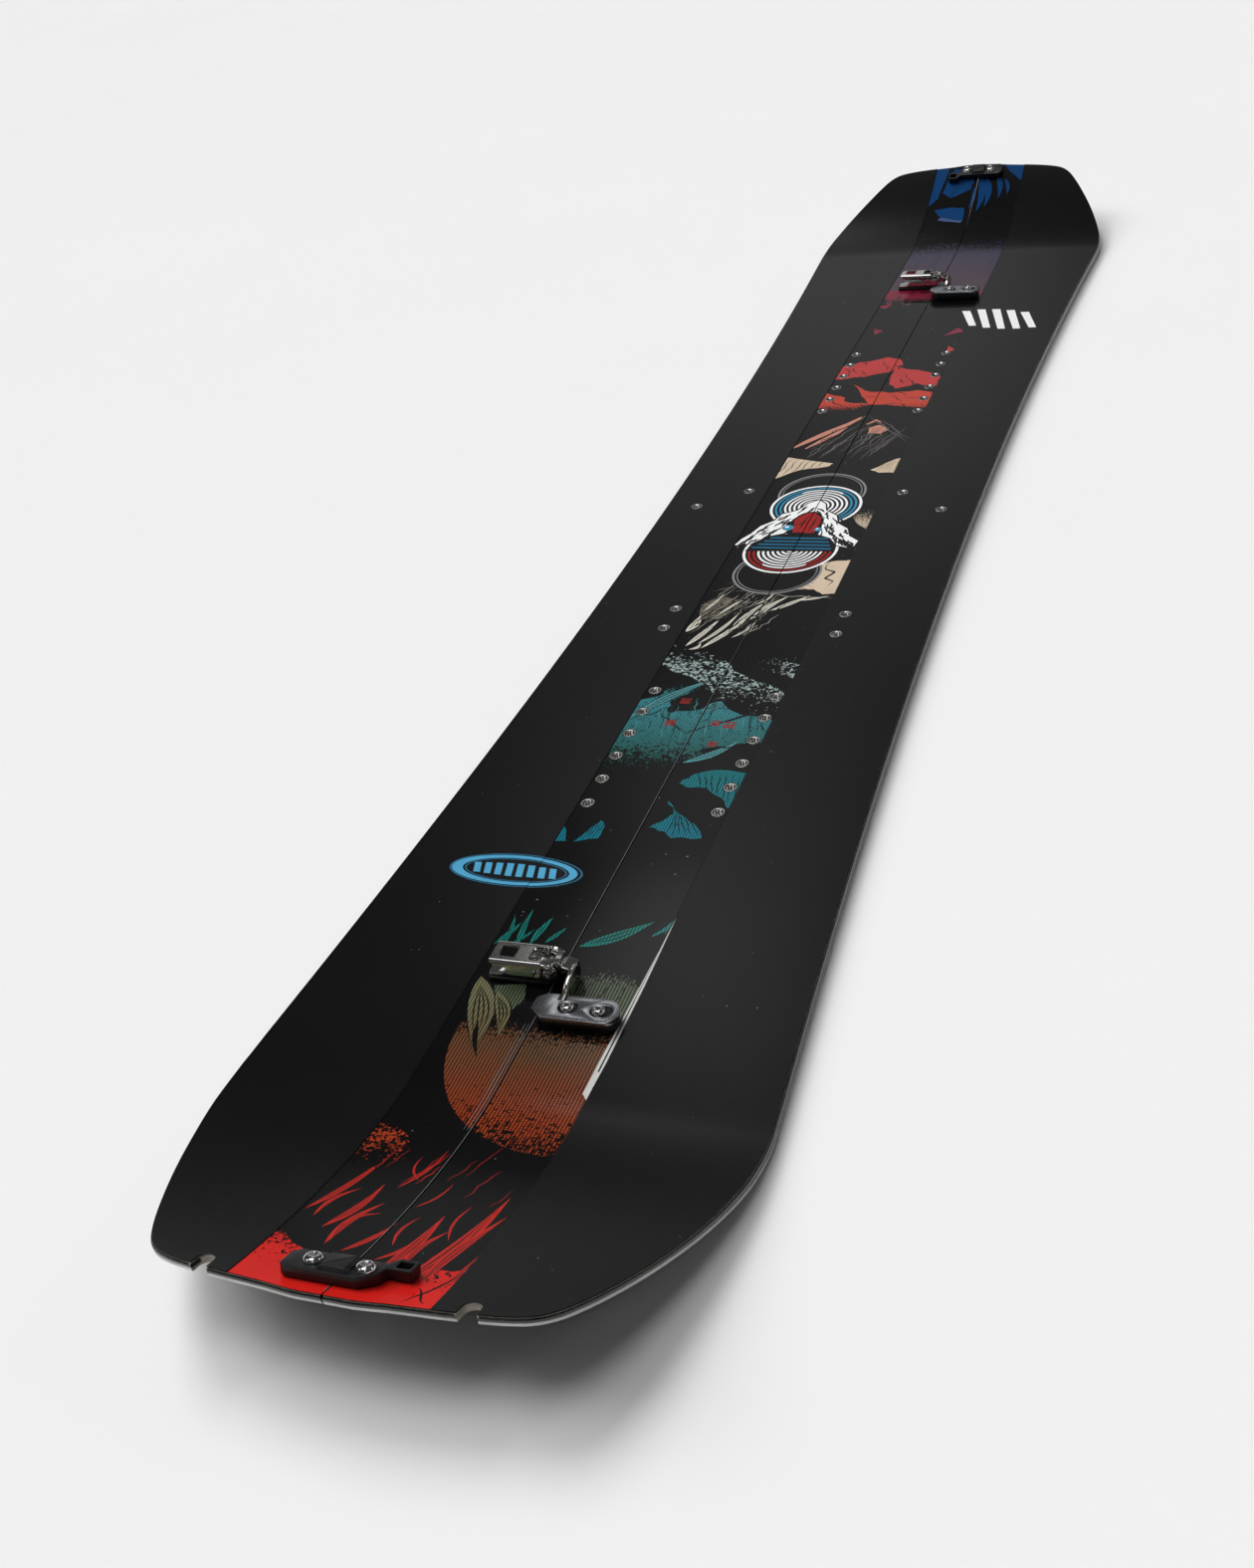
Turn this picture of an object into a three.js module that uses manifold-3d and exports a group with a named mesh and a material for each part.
// A splitboard: a snowboard made of two skis that lie side by side along a lengthwise seam.
// Two over-centre latches and two turning tip clips hold the skis together.
// Millimetres. +X runs to the nose, +Y to the left ski, +Z up; the origin is on the floor
// under the middle of the board's length, on the seam.

import * as THREE from "three";
import { mergeVertices } from "three/addons/utils/BufferGeometryUtils.js";
import Module from "manifold-3d";

const wasm = await Module();
wasm.setup();

// Plan outline
const LENGTH = 1587;
const WAIST = 254;
const SIDECUT_RADIUS = 9600;
const SIDECUT_STATIONS = [-628.5, -588.5, -441, -294, -147, 0, 147, 294, 441, 588.5, 628.5];
// Half widths of both rounded ends, each at a distance back from the tip.
const END_SHAPE = [
  [0, 14], [2, 30], [5, 62], [10, 88], [16, 97.5], [27, 106], [50, 118.5], [75, 129.5],
  [100, 138], [130, 145.3],
];
const SEAM_HALF_GAP = 0.4;

// Side profile: flat between the contact points, with both ends turned up
const TIP_RISE = 44.5;
const RISE_LENGTH = 165;
const RISE_POWER = 1.65;
const TAPER_START = 205;
const TAPER_END = 75;
const BEND_LINES = [0, 27, 50, 75, 100, 130, 165, 205];

// Layers, from the floor up
const MID_THICKNESS = 8.6;
const TIP_THICKNESS = 5.8;
const BASE_SHEET = 1.4;
const EDGE_HEIGHT = 2.1;
const EDGE_WIDTH = 2;
const UPPER_LAMINATE = 0.7;
const TOPSHEET = 0.9;
const STRIPE_RECESS = 0.4;
const STRIPE_HALF_WIDTH = 48.5;
const OUTER_SIDEWALL = 6;
const INNER_SIDEWALL = 4.5;
const LAMINATE_INSET = 0.8;
const TOPSHEET_INSET = 1.2;
const BOND_GAP = 0.05;

// Skin notches in the tail
const NOTCH_Y = 64.5;
const NOTCH_WIDTH = 9;
const NOTCH_DEPTH = 15;

// Threaded inserts
const STANCE_CENTRE_X = -15;
const STANCE_HALF = 300;
const ROW_Y = 42.8;
const ROW_COUNT = 6;
const ROW_PITCH = 26.4;
const INSERT_RADIUS = 4.8;
const INSERT_CLEARANCE = 0.25;
const THREAD_RADIUS = 2.6;
const THREAD_BOTTOM_Z = 4.2;
const CARRIER_WIDTH = 14;
const CARRIER_BOTTOM_Z = 3.2;
const POCKET_BOTTOM_Z = 3.1;
// Touring inserts: two on each ski in front of the middle, and two behind it.
const TOURING_PAIRS = {
  touring_inserts_toe: [[57.5, 64.1], [28.5, 100.5]],
  touring_inserts_heel: [[-138, 64], [-166, 64]],
};

// Latches: local x = 0 is the lever's centre line, local z = 0 is the striped deck surface
const LATCH_X = { rear: -539.5, front: 530 };
const LATCH_PAD_HEIGHT = 2.5;
const LATCH_INNER_Y = 1.5;
const LATCH_OUTER_Y = 39;
const BASE_HALF_WIDTH = 7.3;
const BASE_WALL = 1.5;
const BASE_FLOOR_TOP = 4;
const PIVOT = { y: 1.5, z: 9 };
const CRANK = 6.5;
const CRANK_ANGLE = THREE.MathUtils.degToRad(-4);
const LINK_PIN = {
  y: PIVOT.y + CRANK * Math.cos(CRANK_ANGLE),
  z: PIVOT.z + CRANK * Math.sin(CRANK_ANGLE),
};
const PIN_RADIUS = 1.5;
const PIN_CLEARANCE = 0.12;
const EAR_RADIUS = 4.4;
const LEVER_HALF_WIDTH = 9;
const LEVER_SKIRT = 1.4;
const LEVER_TOP_Z = 15;
const LEVER_PLATE = 2;
const LEVER_END_Y = 35.5;
const LEVER_PLATE_START_Y = 5.5;
const LEVER_NOTCH = { halfWidth: 5.6, endY: 13.5 };
const LEVER_WINDOW = { halfWidth: 5, startY: 21.5, endY: 31.5 };
const BASE_SCREWS_Y = { inner: 16, outer: 27 };

// Hook link and the receiver that it holds
const HOOK_HALF_WIDTH = 4.9;
const TONGUE_HALF_WIDTH = 4.2;
const HOOK_PLATE_Y = [-13.8, -11.3];
const CLAW_REACH_X = -25.3;
const RECEIVER_X = -31;
const RECEIVER_HALF_WIDTH = 9.25;
const RECEIVER_PAD_HEIGHT = 5;
const RECEIVER_PLATE_HEIGHT = 3;
const RECEIVER_INNER_Y = 1;
const RECEIVER_OUTER_Y = -48;
const RECEIVER_SCREWS_Y = { inner: -18.4, outer: -36.2 };
const CLAW_SLOT = { x: -26, y: [-16, -10.9] };

// Tip clips: local x points to the tip, local z is square to the tip's deck
const CLIP_BACK = 15.5;
const CLIP_SCREW_Y = 12.7;
const CLIP_HEIGHT = 6;
const CLIP_PLATEAU_HEIGHT = 8.2;
const CLIP_LIFT = 0.4;
const CLIP_PIVOT_CLEARANCE = 0.25;

// Button-head screws
const SCREW_HEAD_RADIUS = 4.7;
const SCREW_HEAD_HEIGHT = 2.6;
const SCREW_SHAFT_RADIUS = 2.4;
const SCREW_HOLE_RADIUS = 2.8;
const SCREW_DEPTH = 2.9;
const SOCKET_RADIUS = 1.9;
const SOCKET_DEPTH = 1.5;

const CLEAR = 0.3;
const FAR = 2000;
const ROUND_SIDES = 8;
const PIN_SIDES = 10;

const finish = (color, roughness, metalness) => new THREE.MeshStandardMaterial({ color, roughness, metalness });
const MATERIALS = {
  topsheet: finish(0x1c1c1e, 0.45, 0),
  base: finish(0x141416, 0.6, 0),
  laminate: finish(0xb9b28f, 0.6, 0),
  wood: finish(0xc9a26b, 0.7, 0),
  sidewall: finish(0x0c0c0d, 0.3, 0),
  steel: finish(0x9a9c9e, 0.35, 1),
  polished: finish(0xd8d8d8, 0.15, 1),
  satin: finish(0x6f7478, 0.4, 1),
  plastic: finish(0x151517, 0.5, 0),
};

const board = new THREE.Group();
const leftSki = new THREE.Group();
const rightSki = new THREE.Group();
rightSki.scale.y = -1;
board.add(leftSki, rightSki);

// ---- Solids ----

function toSolid(geometry) {
  const bare = geometry.clone();
  bare.deleteAttribute("normal");
  bare.deleteAttribute("uv");
  const merged = mergeVertices(bare, 1e-4);
  return new wasm.Manifold(new wasm.Mesh({
    numProp: 3,
    vertProperties: new Float32Array(merged.attributes.position.array),
    triVerts: new Uint32Array(merged.index.array),
  }));
}

function toGeometry(solid) {
  const mesh = solid.getMesh();
  const geometry = new THREE.BufferGeometry();
  geometry.setAttribute("position", new THREE.BufferAttribute(new Float32Array(mesh.vertProperties), 3));
  geometry.setIndex(new THREE.BufferAttribute(new Uint32Array(mesh.triVerts), 1));
  return geometry;
}

function addMesh(group, name, solid, material) {
  const mesh = new THREE.Mesh(toGeometry(solid), material);
  mesh.name = name;
  group.add(mesh);
}

const joinAll = (solids) => solids.reduce((sum, solid) => sum.add(solid));
const cutAll = (solid, cutters) => cutters.reduce((rest, cutter) => rest.subtract(cutter), solid);

function box(x, y, z) {
  const geometry = new THREE.BoxGeometry(x[1] - x[0], y[1] - y[0], z[1] - z[0]);
  geometry.translate((x[0] + x[1]) / 2, (y[0] + y[1]) / 2, (z[0] + z[1]) / 2);
  return toSolid(geometry);
}

// A round bar that stands along Z.
function post(x, y, radius, z, sides = ROUND_SIDES) {
  const geometry = new THREE.CylinderGeometry(radius, radius, z[1] - z[0], sides);
  geometry.rotateX(Math.PI / 2);
  geometry.translate(x, y, (z[0] + z[1]) / 2);
  return toSolid(geometry);
}

// A round bar that lies along X.
function barAlongX(centre, radius, x, sides = PIN_SIDES) {
  const geometry = new THREE.CylinderGeometry(radius, radius, x[1] - x[0], sides);
  geometry.rotateZ(Math.PI / 2);
  geometry.translate((x[0] + x[1]) / 2, centre.y, centre.z);
  return toSolid(geometry);
}

// A plan shape extruded upwards.
function plate(shape, z, curveSegments = 3) {
  const depth = z[1] - z[0];
  const geometry = new THREE.ExtrudeGeometry(shape, { depth, bevelEnabled: false, curveSegments });
  geometry.translate(0, 0, z[0]);
  return toSolid(geometry);
}

// A shape drawn in the Y-Z plane and extruded along X.
function sidePlate(shape, x, curveSegments = 4) {
  const depth = x[1] - x[0];
  const geometry = new THREE.ExtrudeGeometry(shape, { depth, bevelEnabled: false, curveSegments });
  geometry.applyMatrix4(new THREE.Matrix4().set(0, 0, 1, x[0], 1, 0, 0, 0, 0, 1, 0, 0, 0, 0, 0, 1));
  return toSolid(geometry);
}

// A shape drawn in the X-Z plane and extruded along Y.
function crossPlate(shape, y, curveSegments = 4) {
  const depth = y[1] - y[0];
  const geometry = new THREE.ExtrudeGeometry(shape, { depth, bevelEnabled: false, curveSegments });
  geometry.applyMatrix4(new THREE.Matrix4().set(1, 0, 0, 0, 0, 0, -1, y[1], 0, 1, 0, 0, 0, 0, 0, 1));
  return toSolid(geometry);
}

function polygon(points) {
  return new THREE.Shape(points.map(([u, v]) => new THREE.Vector2(u, v)));
}

function roundedRectangle(x, y, radius) {
  const shape = new THREE.Shape();
  shape.moveTo(x[0] + radius, y[0]);
  shape.lineTo(x[1] - radius, y[0]);
  shape.absarc(x[1] - radius, y[0] + radius, radius, -Math.PI / 2, 0);
  shape.absarc(x[1] - radius, y[1] - radius, radius, 0, Math.PI / 2);
  shape.absarc(x[0] + radius, y[1] - radius, radius, Math.PI / 2, Math.PI);
  shape.absarc(x[0] + radius, y[0] + radius, radius, Math.PI, Math.PI * 1.5);
  return shape;
}

// ---- Board outline and profile ----

function outlinePoints() {
  const points = END_SHAPE.map(([back, halfWidth]) => [back - LENGTH / 2, halfWidth]);
  for (const x of SIDECUT_STATIONS) {
    points.push([x, WAIST / 2 + (x * x) / (2 * SIDECUT_RADIUS)]);
  }
  const nose = END_SHAPE.map(([back, halfWidth]) => [LENGTH / 2 - back, halfWidth]);
  return points.concat(nose.reverse());
}

// The outline moved inwards by a distance, square to its own sides.
function insetOutline(points, distance) {
  const padded = [[points[0][0], -1], ...points, [points.at(-1)[0], -1]];
  return points.map((point, i) => {
    const before = new THREE.Vector2(point[0] - padded[i][0], point[1] - padded[i][1]).normalize();
    const after = new THREE.Vector2(padded[i + 2][0] - point[0], padded[i + 2][1] - point[1]).normalize();
    const normal = new THREE.Vector2(before.y + after.y, -before.x - after.x).normalize();
    const stretch = 1 / Math.max(0.5, normal.dot(new THREE.Vector2(before.y, -before.x)));
    return [point[0] + normal.x * distance * stretch, point[1] + normal.y * distance * stretch];
  });
}

function halfWidthAt(points, x) {
  const next = points.findIndex((point) => point[0] >= x - 1e-9);
  if (next <= 0) return points[Math.max(next, 0)][1];
  const [from, to] = [points[next - 1], points[next]];
  return THREE.MathUtils.mapLinear(x, from[0], to[0], from[1], to[1]);
}

// A value that changes only along X, with straight runs between the bend lines.
function bent(x, value) {
  const back = LENGTH / 2 - Math.abs(x);
  const next = BEND_LINES.findIndex((line) => line >= back - 1e-9);
  if (next < 0) return value(TAPER_START);
  if (next === 0) return value(0);
  const [from, to] = [BEND_LINES[next - 1], BEND_LINES[next]];
  return THREE.MathUtils.mapLinear(back, from, to, value(from), value(to));
}

const riseAt = (back) => TIP_RISE * (Math.max(0, RISE_LENGTH - back) / RISE_LENGTH) ** RISE_POWER;
const thicknessAt = (back) => {
  const share = THREE.MathUtils.clamp((TAPER_START - back) / (TAPER_START - TAPER_END), 0, 1);
  return THREE.MathUtils.lerp(MID_THICKNESS, TIP_THICKNESS, share);
};
const deckZ = (x) => MID_THICKNESS + bent(x, riseAt);
const floorZ = (x) => deckZ(x) - bent(x, thicknessAt);

// A layer of the left ski: from innerY to the outline, between two surfaces.
function layer(points, innerY, bottom, top, outerY = Infinity) {
  const [start, end] = [points[0][0], points.at(-1)[0]];
  const bends = BEND_LINES.flatMap((back) => [back - LENGTH / 2, LENGTH / 2 - back]);
  const wanted = outerY < points[0][1] ? [start, end] : points.map((point) => point[0]);
  const stations = [...new Set([...wanted, ...bends])]
    .filter((x) => x >= start && x <= end)
    .sort((a, b) => a - b)
    .filter((x, i, all) => i === 0 || x - all[i - 1] > 1e-3);
  const positions = [];
  const faces = [];
  stations.forEach((x, i) => {
    const outer = Math.min(outerY, halfWidthAt(points, x));
    positions.push(x, innerY, bottom(x), x, outer, bottom(x), x, outer, top(x), x, innerY, top(x));
    if (i === 0) return;
    for (let k = 0; k < 4; k++) {
      const [a, b] = [4 * (i - 1) + k, 4 * (i - 1) + ((k + 1) % 4)];
      faces.push(a, b, b + 4, a, b + 4, a + 4);
    }
  });
  const last = 4 * (stations.length - 1);
  faces.push(0, 2, 1, 0, 3, 2, last, last + 1, last + 2, last, last + 2, last + 3);
  const geometry = new THREE.BufferGeometry();
  geometry.setAttribute("position", new THREE.Float32BufferAttribute(positions, 3));
  geometry.setIndex(faces);
  return toSolid(geometry);
}

const OUTLINE = outlinePoints();
const above = (surface, height) => (x) => surface(x) + height;
const ALWAYS_BELOW = (x) => floorZ(x) - 5;
const ALWAYS_ABOVE = (x) => deckZ(x) + 5;

// ---- Cuts through the layers of the left ski ----

function skinNotch() {
  const endX = -LENGTH / 2 + NOTCH_DEPTH;
  const radius = NOTCH_WIDTH / 2;
  const shape = new THREE.Shape();
  shape.moveTo(-LENGTH / 2 - 10, NOTCH_Y - radius);
  shape.lineTo(endX - radius, NOTCH_Y - radius);
  shape.absarc(endX - radius, NOTCH_Y, radius, -Math.PI / 2, Math.PI / 2);
  shape.lineTo(-LENGTH / 2 - 10, NOTCH_Y + radius);
  return plate(shape, [-5, 80]);
}

function insertPlaces() {
  const places = {};
  for (const [end, sign] of [["rear", -1], ["front", 1]]) {
    const middle = STANCE_CENTRE_X + sign * STANCE_HALF;
    places[end + "_insert_row"] = Array.from({ length: ROW_COUNT }, (_, i) => [
      middle + (i - (ROW_COUNT - 1) / 2) * ROW_PITCH, ROW_Y,
    ]);
  }
  return { ...places, ...TOURING_PAIRS };
}

// The long bar that carries a row of inserts inside the core.
function carrier(places, margin, z) {
  const [first, last] = [places[0], places.at(-1)];
  const [dx, dy] = [last[0] - first[0], last[1] - first[1]];
  const halfLength = Math.hypot(dx, dy) / 2 + CARRIER_WIDTH / 2 + margin;
  const geometry = new THREE.BoxGeometry(2 * halfLength, CARRIER_WIDTH + 2 * margin, z[1] - z[0]);
  geometry.rotateZ(Math.atan2(dy, dx));
  geometry.translate((first[0] + last[0]) / 2, (first[1] + last[1]) / 2, (z[0] + z[1]) / 2);
  return toSolid(geometry);
}

function insertBody(places) {
  const topZ = MID_THICKNESS - (places[0][1] < STRIPE_HALF_WIDTH ? STRIPE_RECESS : 0) - BOND_GAP;
  const laminateTop = MID_THICKNESS - TOPSHEET;
  const barrels = places.map(([x, y]) => post(x, y, INSERT_RADIUS, [CARRIER_BOTTOM_Z + 1, topZ]));
  const threads = places.map(([x, y]) => post(x, y, THREAD_RADIUS, [THREAD_BOTTOM_Z, topZ + 1], 6));
  const body = joinAll([carrier(places, 0, [CARRIER_BOTTOM_Z, laminateTop - BOND_GAP]), ...barrels]);
  return cutAll(body, threads);
}

function tipPlacement(sign) {
  const start = sign * (LENGTH / 2);
  const bend = sign * (LENGTH / 2 - BEND_LINES[1]);
  const slope = Math.atan2(deckZ(start) - deckZ(bend), BEND_LINES[1]);
  const x = sign * (LENGTH / 2 - CLIP_BACK);
  const matrix = new THREE.Matrix4().makeTranslation(x, 0, deckZ(x) - STRIPE_RECESS);
  if (sign < 0) matrix.multiply(new THREE.Matrix4().makeRotationZ(Math.PI));
  return matrix.multiply(new THREE.Matrix4().makeRotationY(-slope));
}

// Blind holes for the screws that hold the latches and clips, on one side of the seam.
function screwHoles(side) {
  const deck = MID_THICKNESS - STRIPE_RECESS;
  const depth = [deck - SCREW_DEPTH - 0.15, MID_THICKNESS + 1];
  const holes = [];
  for (const centre of Object.values(LATCH_X)) {
    const places = side > 0 ? Object.values(BASE_SCREWS_Y) : Object.values(RECEIVER_SCREWS_Y);
    const x = side > 0 ? centre : centre + RECEIVER_X;
    places.forEach((y) => holes.push(post(x, Math.abs(y), SCREW_HOLE_RADIUS, depth)));
  }
  for (const sign of [-1, 1]) {
    const geometry = new THREE.CylinderGeometry(SCREW_HOLE_RADIUS, SCREW_HOLE_RADIUS, 5.1, ROUND_SIDES);
    geometry.rotateX(Math.PI / 2);
    geometry.translate(0, sign * CLIP_SCREW_Y, -SCREW_DEPTH - 0.15 + 5.1 / 2);
    geometry.applyMatrix4(tipPlacement(sign));
    holes.push(toSolid(geometry));
  }
  return holes;
}

// ---- Layers of one ski ----

const NOTCH = skinNotch();
const INSERTS = insertPlaces();
const TAIL_END_X = -LENGTH / 2 + 40;

function addSki(group, side, half) {
  const holes = screwHoles(side);
  const pockets = Object.values(INSERTS).map((places) =>
    carrier(places, INSERT_CLEARANCE, [POCKET_BOTTOM_Z, MID_THICKNESS + 1]));
  const edgeInset = insetOutline(OUTLINE, EDGE_WIDTH);
  const panelInset = insetOutline(OUTLINE, EDGE_WIDTH + BOND_GAP);
  const innerPanelY = SEAM_HALF_GAP + EDGE_WIDTH + BOND_GAP;
  const add = (name, solid, material) => addMesh(group, half + "_" + name, solid, material);

  const baseSheet = layer(panelInset, innerPanelY, floorZ, above(floorZ, BASE_SHEET - BOND_GAP));
  add("base_sheet", baseSheet.subtract(NOTCH), MATERIALS.base);
  addSteelEdges(add, edgeInset, panelInset);

  const laminate = layer(panelInset, innerPanelY, above(floorZ, BASE_SHEET), above(floorZ, EDGE_HEIGHT - BOND_GAP));
  add("lower_laminate", laminate.subtract(NOTCH), MATERIALS.laminate);
  addCoreAndSidewalls(add, [...pockets, ...holes]);

  const upperBottom = above(deckZ, -TOPSHEET - UPPER_LAMINATE);
  const upper = layer(insetOutline(OUTLINE, LAMINATE_INSET), SEAM_HALF_GAP, upperBottom, above(deckZ, -TOPSHEET - BOND_GAP));
  add("upper_laminate", cutAll(upper, [NOTCH, ...pockets, ...holes]), MATERIALS.laminate);
  add("topsheet", topsheet(holes), MATERIALS.topsheet);

  for (const [name, places] of Object.entries(INSERTS)) {
    add(name, insertBody(places), MATERIALS.steel);
  }
}

// The steel edge runs round the ski; the notch parts the short tail length from the rest.
function addSteelEdges(add, edgeInset, panelInset) {
  const top = above(floorZ, EDGE_HEIGHT - BOND_GAP);
  const full = layer(OUTLINE, SEAM_HALF_GAP, floorZ, top);
  const ring = full.subtract(layer(edgeInset, -1, ALWAYS_BELOW, ALWAYS_ABOVE)).subtract(NOTCH);
  const tailBox = box([-FAR, TAIL_END_X], [-1, NOTCH_Y], [-10, 90]);
  add("outer_edge", ring.subtract(tailBox), MATERIALS.steel);
  add("tail_edge", ring.intersect(tailBox), MATERIALS.steel);
  const innerEdge = layer(panelInset, SEAM_HALF_GAP, floorZ, top, SEAM_HALF_GAP + EDGE_WIDTH);
  add("inner_edge", innerEdge, MATERIALS.steel);
}

// The core reaches the outline only between the skin notch and the seam.
function addCoreAndSidewalls(add, cuts) {
  const bottom = above(floorZ, EDGE_HEIGHT);
  const top = above(deckZ, -TOPSHEET - UPPER_LAMINATE - BOND_GAP);
  const tailBox = box([-FAR, TAIL_END_X], [-1, NOTCH_Y], [-10, 90]);
  const full = layer(OUTLINE, SEAM_HALF_GAP, bottom, top);
  const inside = layer(insetOutline(OUTLINE, OUTER_SIDEWALL), -1, ALWAYS_BELOW, ALWAYS_ABOVE);
  add("outer_sidewall", full.subtract(inside).subtract(tailBox).subtract(NOTCH), MATERIALS.sidewall);

  const innerY = SEAM_HALF_GAP + INNER_SIDEWALL;
  const coreOutline = insetOutline(OUTLINE, OUTER_SIDEWALL + BOND_GAP);
  const innerWall = layer(coreOutline, SEAM_HALF_GAP, bottom, top, innerY - BOND_GAP);
  add("inner_sidewall", cutAll(innerWall, cuts), MATERIALS.sidewall);
  const core = layer(coreOutline, innerY, bottom, top);
  const tailCore = layer(OUTLINE, innerY, bottom, top)
    .intersect(box([-FAR, TAIL_END_X - 10], [-1, NOTCH_Y], [-10, 90]));
  add("wood_core", cutAll(core.add(tailCore), [NOTCH, ...cuts]), MATERIALS.wood);
}

// The glossy stripe along the seam lies a little lower than the textured sides.
function topsheet(holes) {
  const outline = insetOutline(OUTLINE, TOPSHEET_INSET);
  const sheet = layer(outline, SEAM_HALF_GAP, above(deckZ, -TOPSHEET), deckZ);
  const stripe = layer(OUTLINE, -1, above(deckZ, -STRIPE_RECESS), ALWAYS_ABOVE, STRIPE_HALF_WIDTH);
  const bores = Object.values(INSERTS).flat().map(([x, y]) =>
    post(x, y, INSERT_RADIUS + INSERT_CLEARANCE, [0, MID_THICKNESS + 1]));
  return cutAll(sheet, [stripe, NOTCH, ...bores, ...holes]);
}

// ---- Screws ----

// A button-head screw that stands along local Z with its seat at height zero.
function screwSolid(seatToDeck, headRadius = SCREW_HEAD_RADIUS, headHeight = SCREW_HEAD_HEIGHT) {
  const end = -seatToDeck - SCREW_DEPTH;
  const profile = [
    [0, end], [SCREW_SHAFT_RADIUS, end], [SCREW_SHAFT_RADIUS, 0.02], [headRadius, 0.02],
    [headRadius * 0.86, headHeight * 0.6], [headRadius * 0.55, headHeight], [0, headHeight],
  ];
  const geometry = new THREE.LatheGeometry(profile.map(([r, z]) => new THREE.Vector2(r, z)), ROUND_SIDES);
  geometry.rotateX(Math.PI / 2);
  const socket = post(0, 0, SOCKET_RADIUS, [headHeight - SOCKET_DEPTH, headHeight + 1], 6);
  return toSolid(geometry).subtract(socket);
}

function addScrew(group, name, x, y, seatZ, seatToDeck, headRadius, headHeight) {
  const holder = new THREE.Group();
  holder.position.set(x, y, seatZ);
  group.add(holder);
  addMesh(holder, name, screwSolid(seatToDeck, headRadius, headHeight), MATERIALS.polished);
}

// ---- Latches ----

function latchBase() {
  const floor = plate(
    roundedRectangle([-BASE_HALF_WIDTH, BASE_HALF_WIDTH], [LATCH_INNER_Y, LATCH_OUTER_Y - 0.5], 2),
    [LATCH_PAD_HEIGHT + BOND_GAP, BASE_FLOOR_TOP],
  );
  const wall = new THREE.Shape();
  wall.moveTo(LATCH_INNER_Y, LATCH_PAD_HEIGHT + BOND_GAP);
  wall.lineTo(31, LATCH_PAD_HEIGHT + BOND_GAP);
  wall.lineTo(25, 9.5);
  wall.lineTo(12, 9.5);
  wall.lineTo(9.8, 6.3);
  wall.lineTo(PIVOT.y + EAR_RADIUS, 6.3);
  wall.absarc(PIVOT.y, PIVOT.z, EAR_RADIUS, 0, Math.PI);
  wall.lineTo(PIVOT.y - EAR_RADIUS, 6.5);
  const inner = BASE_HALF_WIDTH - BASE_WALL;
  const walls = [
    sidePlate(wall, [-BASE_HALF_WIDTH, -inner]),
    sidePlate(wall, [inner, BASE_HALF_WIDTH]),
  ];
  const bore = barAlongX(PIVOT, PIN_RADIUS + PIN_CLEARANCE, [-20, 20]);
  const holes = Object.values(BASE_SCREWS_Y).map((y) => post(0, y, SCREW_HOLE_RADIUS, [0, 6]));
  return cutAll(joinAll([floor, ...walls]), [bore, ...holes]);
}

function latchPad() {
  const shape = roundedRectangle([-LEVER_HALF_WIDTH, LEVER_HALF_WIDTH], [LATCH_INNER_Y, LATCH_OUTER_Y], 3);
  const holes = Object.values(BASE_SCREWS_Y).map((y) => post(0, y, SCREW_HOLE_RADIUS, [-1, 4]));
  return cutAll(plate(shape, [BOND_GAP, LATCH_PAD_HEIGHT]), holes);
}

function lever() {
  const skirt = new THREE.Shape();
  skirt.absarc(PIVOT.y, PIVOT.z, 4, Math.PI / 2, Math.PI * 1.5);
  skirt.lineTo(LINK_PIN.y, LINK_PIN.z - 3.6);
  skirt.lineTo(LINK_PIN.y + 3.6, LINK_PIN.z - 1);
  skirt.lineTo(14, 10.4);
  skirt.lineTo(LEVER_END_Y - 1.5, 11.4);
  skirt.lineTo(LEVER_END_Y - 0.5, LEVER_TOP_Z - 0.6);
  skirt.lineTo(6.5, LEVER_TOP_Z - 0.6);
  const inner = LEVER_HALF_WIDTH - LEVER_SKIRT;
  const skirts = [
    sidePlate(skirt, [-LEVER_HALF_WIDTH, -inner], 3),
    sidePlate(skirt, [inner, LEVER_HALF_WIDTH], 3),
  ];
  const sides = [-LEVER_HALF_WIDTH, LEVER_HALF_WIDTH];
  const top = plate(roundedRectangle(sides, [LEVER_PLATE_START_Y, LEVER_END_Y], 2.5), [LEVER_TOP_Z - LEVER_PLATE, LEVER_TOP_Z]);
  const window = box(
    [-LEVER_WINDOW.halfWidth, LEVER_WINDOW.halfWidth],
    [LEVER_WINDOW.startY, LEVER_WINDOW.endY],
    [LEVER_TOP_Z - 5, LEVER_TOP_Z + 5],
  );
  const notch = plate(
    roundedRectangle([-LEVER_NOTCH.halfWidth, LEVER_NOTCH.halfWidth], [0, LEVER_NOTCH.endY], 3),
    [LEVER_TOP_Z - 5, LEVER_TOP_Z + 5],
  );
  const bores = [PIVOT, LINK_PIN].map((pin) => barAlongX(pin, PIN_RADIUS + PIN_CLEARANCE, [-20, 20]));
  return cutAll(joinAll([top, ...skirts]), [window, notch, ...bores]);
}

// A pin along X with a flat head outside each end that is asked for.
function pin(centre, x, headed) {
  const shaft = barAlongX(centre, PIN_RADIUS, x);
  const heads = headed.map((end) => barAlongX(centre, PIN_RADIUS + 1, [Math.min(end, end + 0.8 * Math.sign(end)),
    Math.max(end, end + 0.8 * Math.sign(end))]));
  return joinAll([shaft, ...heads]);
}

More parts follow.
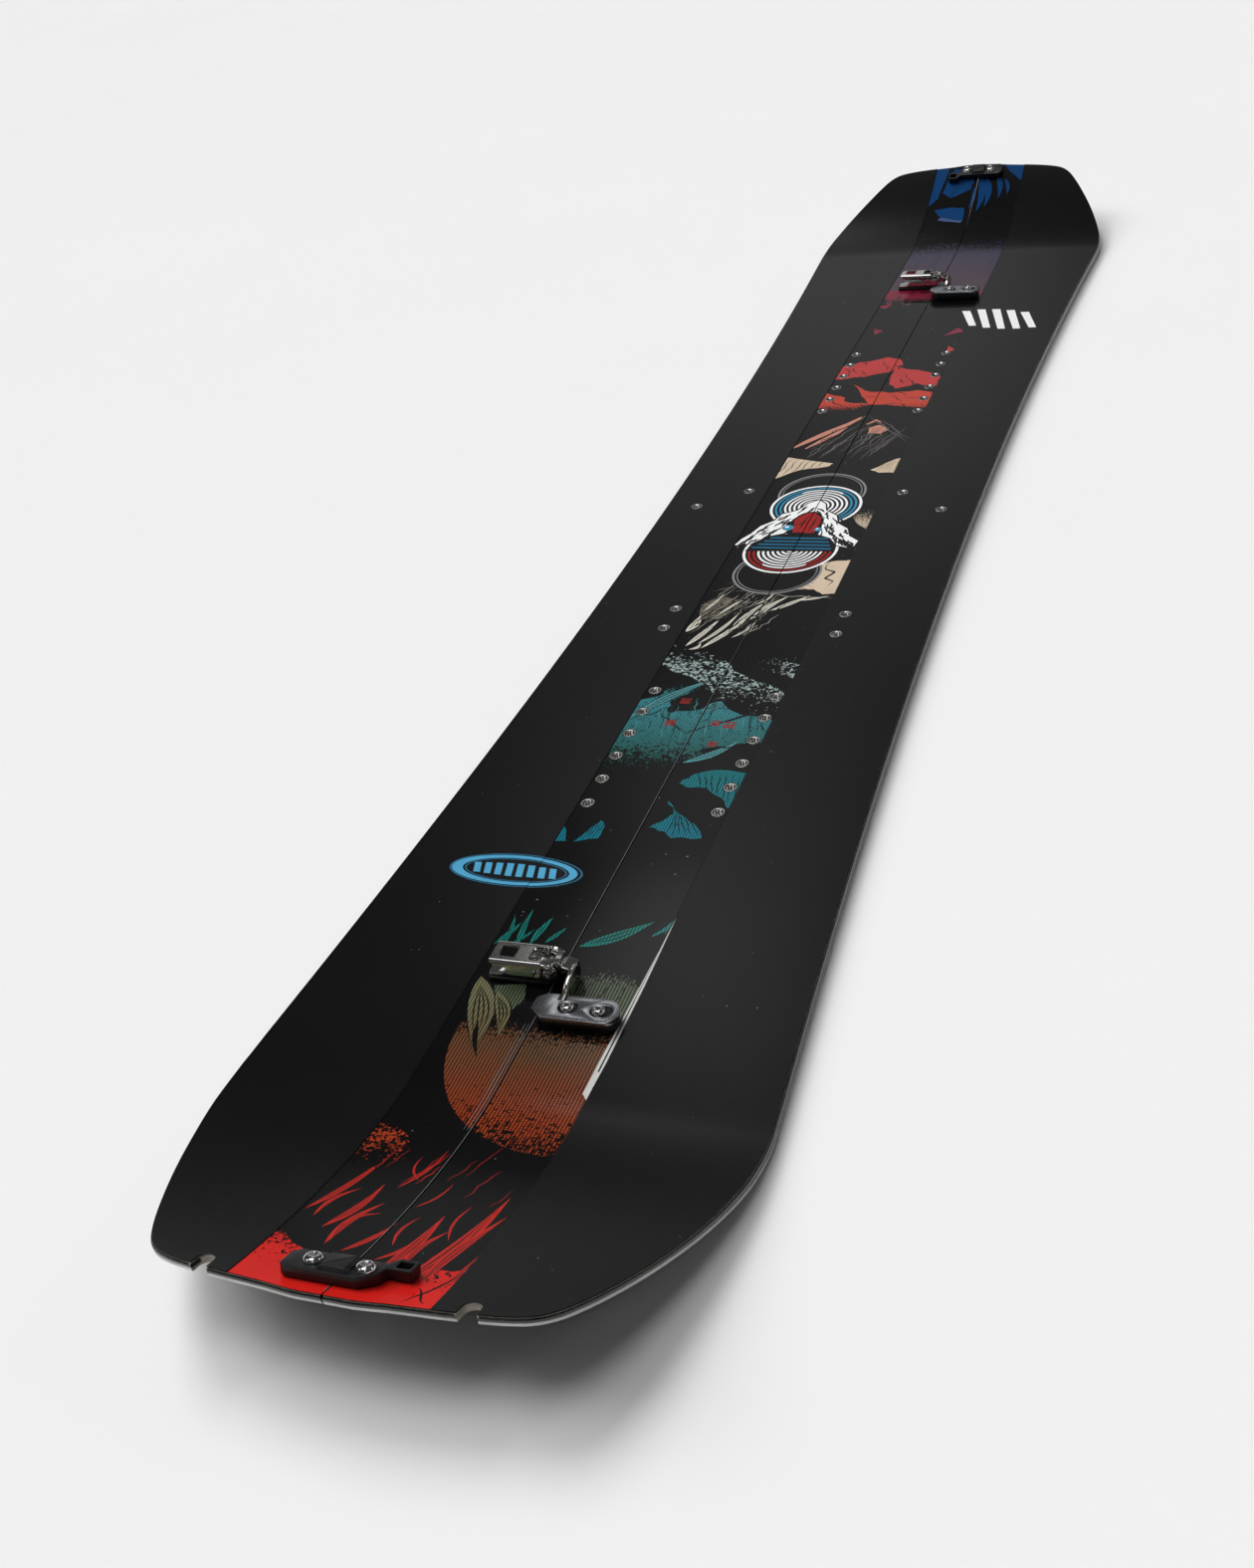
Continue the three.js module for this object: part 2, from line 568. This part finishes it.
// The hook link: an eye on the lever's pin, an adjuster block, and a curved claw plate.
function hookLink() {
  const eye = barAlongX(LINK_PIN, 3, [-HOOK_HALF_WIDTH, HOOK_HALF_WIDTH]);
  const tongue = box([-TONGUE_HALF_WIDTH, TONGUE_HALF_WIDTH], [-4, LINK_PIN.y], [7.3, 9.9]);
  const block = sidePlate(polygon([
    [-6, 6.4], [0.4, 6.4], [0.8, 7.2], [0.8, 12.8], [-0.9, 14.8], [-4.2, 14.8], [-6, 12.4],
  ]), [-HOOK_HALF_WIDTH, HOOK_HALF_WIDTH]);
  const arm = sidePlate(polygon([
    [-11.5, 4.5], [-5.5, 6.4], [-5.5, 11.5], [-11.5, 9.5],
  ]), [-HOOK_HALF_WIDTH, HOOK_HALF_WIDTH]);
  const claw = new THREE.Shape();
  claw.moveTo(CLAW_REACH_X, 1.2);
  claw.lineTo(-6, 1.2);
  claw.quadraticCurveTo(1.5, 2, 1.5, 7.5);
  claw.quadraticCurveTo(1, 12.6, -6, 13);
  claw.quadraticCurveTo(-16, 13, -20.9, 7.2);
  claw.lineTo(CLAW_REACH_X, 6.4);
  const body = joinAll([eye, tongue, block, arm, crossPlate(claw, HOOK_PLATE_Y)]);
  return body.subtract(barAlongX(LINK_PIN, PIN_RADIUS + PIN_CLEARANCE, [-20, 20]));
}

function receiverOutline(innerY, outerMargin) {
  const [low, high] = [RECEIVER_X - RECEIVER_HALF_WIDTH, RECEIVER_X + RECEIVER_HALF_WIDTH];
  const radius = RECEIVER_HALF_WIDTH;
  const shape = new THREE.Shape();
  shape.moveTo(low, RECEIVER_OUTER_Y + radius + outerMargin);
  shape.absarc(RECEIVER_X, RECEIVER_OUTER_Y + radius + outerMargin, radius, Math.PI, 2 * Math.PI);
  shape.lineTo(high, innerY - 5);
  shape.lineTo(high - 4, innerY);
  shape.lineTo(low + 6, innerY);
  shape.lineTo(low, innerY - 7);
  return shape;
}

const clawSlot = () => box([CLAW_SLOT.x, RECEIVER_X + RECEIVER_HALF_WIDTH + 1], CLAW_SLOT.y, [-1, 12]);

function receiverPlate() {
  const z = [RECEIVER_PAD_HEIGHT + BOND_GAP, RECEIVER_PAD_HEIGHT + RECEIVER_PLATE_HEIGHT];
  const slots = Object.values(RECEIVER_SCREWS_Y).map((y) =>
    plate(roundedRectangle([RECEIVER_X - 2.9, RECEIVER_X + 2.9], [y - 6.2, y + 3.4], 2.85), [0, 12], 2));
  return cutAll(plate(receiverOutline(RECEIVER_INNER_Y, 0), z, 5), [clawSlot(), ...slots]);
}

function receiverPad() {
  const holes = Object.values(RECEIVER_SCREWS_Y).map((y) => post(RECEIVER_X, y, SCREW_HOLE_RADIUS, [-1, 12]));
  const pad = plate(receiverOutline(-0.8, 0.6), [BOND_GAP, RECEIVER_PAD_HEIGHT], 5);
  return cutAll(pad, [clawSlot(), ...holes]);
}

function addLatch(end) {
  const group = new THREE.Group();
  group.position.set(LATCH_X[end], 0, MID_THICKNESS - STRIPE_RECESS);
  board.add(group);
  const add = (name, solid, material) => addMesh(group, end + "_" + name, solid, material);
  add("latch_pad", latchPad(), MATERIALS.plastic);
  add("latch_base", latchBase(), MATERIALS.steel);
  add("latch_lever", lever(), MATERIALS.polished);
  const rivet = [BASE_HALF_WIDTH - BASE_WALL - 0.4, LEVER_HALF_WIDTH + 0.2];
  add("latch_pivot_nose_side", pin(PIVOT, rivet, [rivet[1] - 0.05]), MATERIALS.polished);
  add("latch_pivot_tail_side", pin(PIVOT, [-rivet[1], -rivet[0]], [-rivet[1] + 0.05]), MATERIALS.polished);
  const reach = LEVER_HALF_WIDTH + 0.15;
  add("latch_link_pin", pin(LINK_PIN, [-reach, reach], [-reach, reach]), MATERIALS.polished);
  add("latch_hook_link", hookLink(), MATERIALS.polished);
  add("receiver_pad", receiverPad(), MATERIALS.plastic);
  add("receiver_plate", receiverPlate(), MATERIALS.satin);
  for (const [place, y] of Object.entries(BASE_SCREWS_Y)) {
    addScrew(group, end + "_latch_screw_" + place, 0, y, BASE_FLOOR_TOP, BASE_FLOOR_TOP, 3.6, 1.8);
  }
  const seat = RECEIVER_PAD_HEIGHT + RECEIVER_PLATE_HEIGHT;
  for (const [place, y] of Object.entries(RECEIVER_SCREWS_Y)) {
    addScrew(group, end + "_receiver_screw_" + place, RECEIVER_X, y, seat, seat);
  }
}

// ---- Tip clips ----

// The slot that lets the clip swing off the catch screw, an arc about the pivot screw.
function catchSlot() {
  const radius = 2 * CLIP_SCREW_Y;
  const halfWidth = SCREW_SHAFT_RADIUS + 0.5;
  const sweep = Math.PI / 2 + 0.5;
  const shape = new THREE.Shape();
  shape.absarc(0, -CLIP_SCREW_Y, radius + halfWidth, Math.PI / 2, sweep);
  shape.absarc(0, -CLIP_SCREW_Y, radius - halfWidth, sweep, Math.PI / 2, true);
  return plate(shape, [-1, 12], 6).add(post(0, CLIP_SCREW_Y, halfWidth, [-1, 12]));
}

function clipBody() {
  const body = plate(polygon([
    [-7.5, -23], [-3, -26], [6, -26], [8, -23], [8, 12], [2.5, 19], [-3.5, 21],
    [-3.5, 32], [-12.5, 32], [-12.5, 22.5], [-7.5, 19],
  ]), [CLIP_LIFT, CLIP_HEIGHT]);
  const plateau = crossPlate(polygon([
    [-6.8, CLIP_HEIGHT - 1], [7.2, CLIP_HEIGHT - 1], [6, CLIP_PLATEAU_HEIGHT], [-5.4, CLIP_PLATEAU_HEIGHT],
  ]), [-7, 7]);
  const pocket = box([-10.8, -5.2], [23.8, 30.3], [CLIP_HEIGHT - 3.4, CLIP_HEIGHT + 1]);
  const pivotHole = post(0, -CLIP_SCREW_Y, SCREW_SHAFT_RADIUS + CLIP_PIVOT_CLEARANCE, [-1, 12]);
  return cutAll(body.add(plateau), [pocket, pivotHole, catchSlot()]);
}

function addTipClip(end, sign) {
  const group = new THREE.Group();
  group.applyMatrix4(tipPlacement(sign));
  board.add(group);
  addMesh(group, end + "_clip_body", clipBody(), MATERIALS.plastic);
  const seat = CLIP_HEIGHT + 0.1;
  addScrew(group, end + "_clip_pivot_screw", 0, -CLIP_SCREW_Y, seat, seat);
  addScrew(group, end + "_clip_catch_screw", 0, CLIP_SCREW_Y, seat, seat);
}

addSki(leftSki, 1, "left");
addSki(rightSki, -1, "right");
addLatch("rear");
addLatch("front");
addTipClip("tail", -1);
addTipClip("nose", 1);

export default board;
